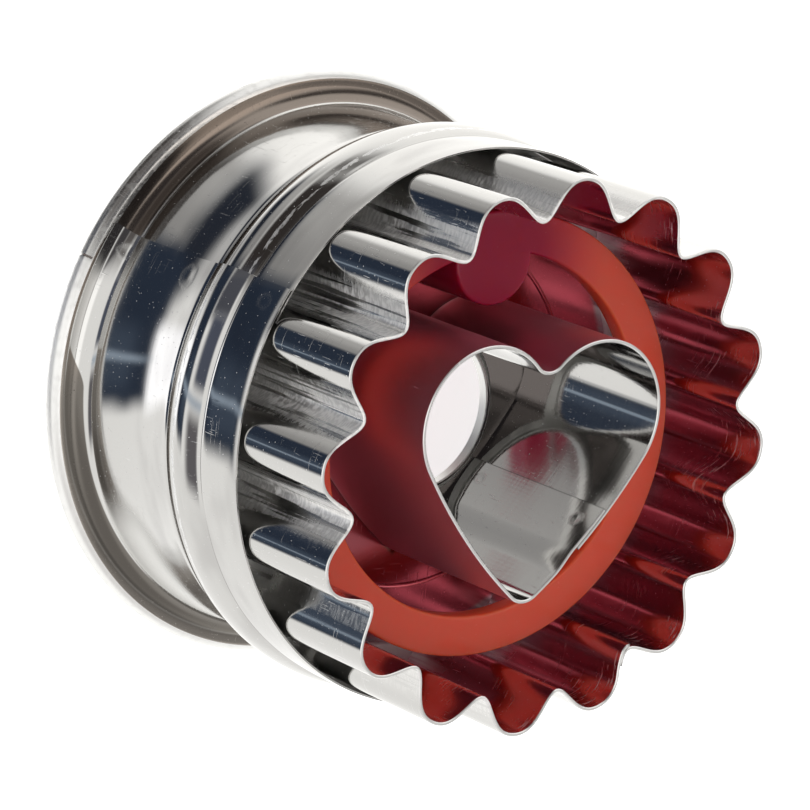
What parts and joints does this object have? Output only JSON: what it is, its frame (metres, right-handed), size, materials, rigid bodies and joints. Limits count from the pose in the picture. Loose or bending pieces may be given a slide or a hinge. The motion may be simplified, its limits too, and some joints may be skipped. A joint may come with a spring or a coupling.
{
  "type": "linzer cookie cutter",
  "caption": "Small cookie cutter with a fluted round ring, a heart inside it, a rolled sheet handle band and a sprung ejector that pushes the dough out.",
  "frame": {"origin": "centre of the handle band's rim, in the plane that the cutter stands on", "axes": "+Z along the cutter's axis towards its cutting edges, +Y towards the notch of the heart, +X to the heart's right as seen from the cutting edges"},
  "size_m": [0.0554, 0.0554, 0.038],
  "materials": {
    "band": "bright polished tinplate, fine scratches",
    "cutting_strip": "bright polished tinplate strip with fine lengthwise marks",
    "plate": "bright tinplate",
    "plastic": "glossy moulded, slightly see-through red",
    "spring": "bright wire"
  },
  "bodies": {
    "cutter": {"handle_band": "band", "fluted_ring": "cutting_strip", "heart_cutter": "cutting_strip", "bridge_plate": "plate", "return_spring": "spring"},
    "ejector": {"ejector": "plastic", "push_button": "plastic"}
  },
  "joints": [
    {"name": "ejector_slide", "type": "slide", "parent": "cutter", "child": "ejector", "axis": [0, 0, 1], "range_m": [0, 0.0095], "stiffness_N_per_m": 80, "springref_m": -0.003, "deforming": ["return_spring"]}
  ]
}
